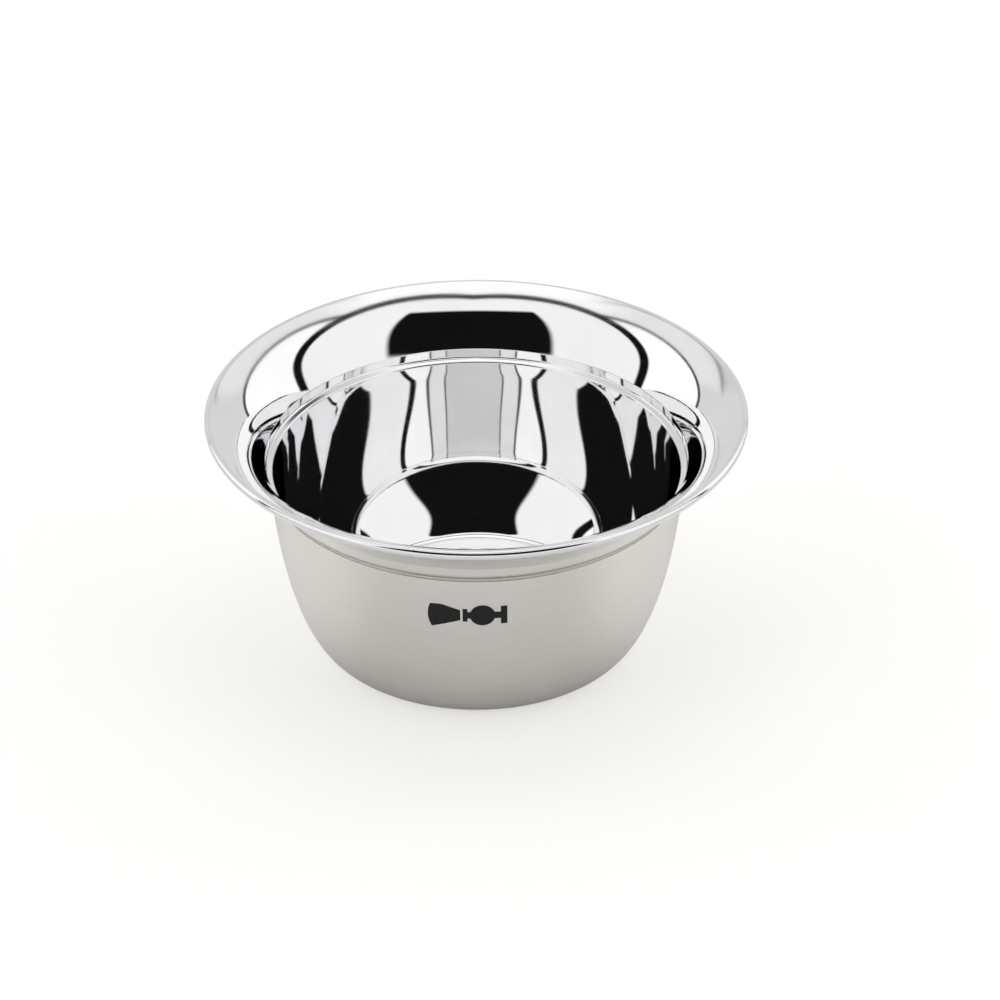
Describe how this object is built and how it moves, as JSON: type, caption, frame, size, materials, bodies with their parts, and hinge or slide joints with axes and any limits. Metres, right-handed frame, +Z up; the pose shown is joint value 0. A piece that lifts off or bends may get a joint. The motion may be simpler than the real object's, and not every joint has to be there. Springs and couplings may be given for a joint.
{
  "type": "shaving bowl",
  "caption": "Double-walled stainless steel shaving bowl with a flared brim, rolled rim, stepped neck and flat base.",
  "frame": {"origin": "centre of the flat base that the bowl stands on", "axes": "+Z up along the bowl's axis, -Y towards the printed mark"},
  "size_m": [0.12, 0.12, 0.0564],
  "materials": {
    "polished_steel": "mirror polished stainless steel, satin under the brim",
    "satin_steel": "fine satin brushed stainless steel",
    "weld": "dull ground weld",
    "ink": "black pad-printed ink"
  },
  "bodies": {
    "root": {"inner_liner": "polished_steel", "outer_jacket": "satin_steel", "seam_weld": "weld", "printed_mark": "ink"}
  },
  "joints": []
}
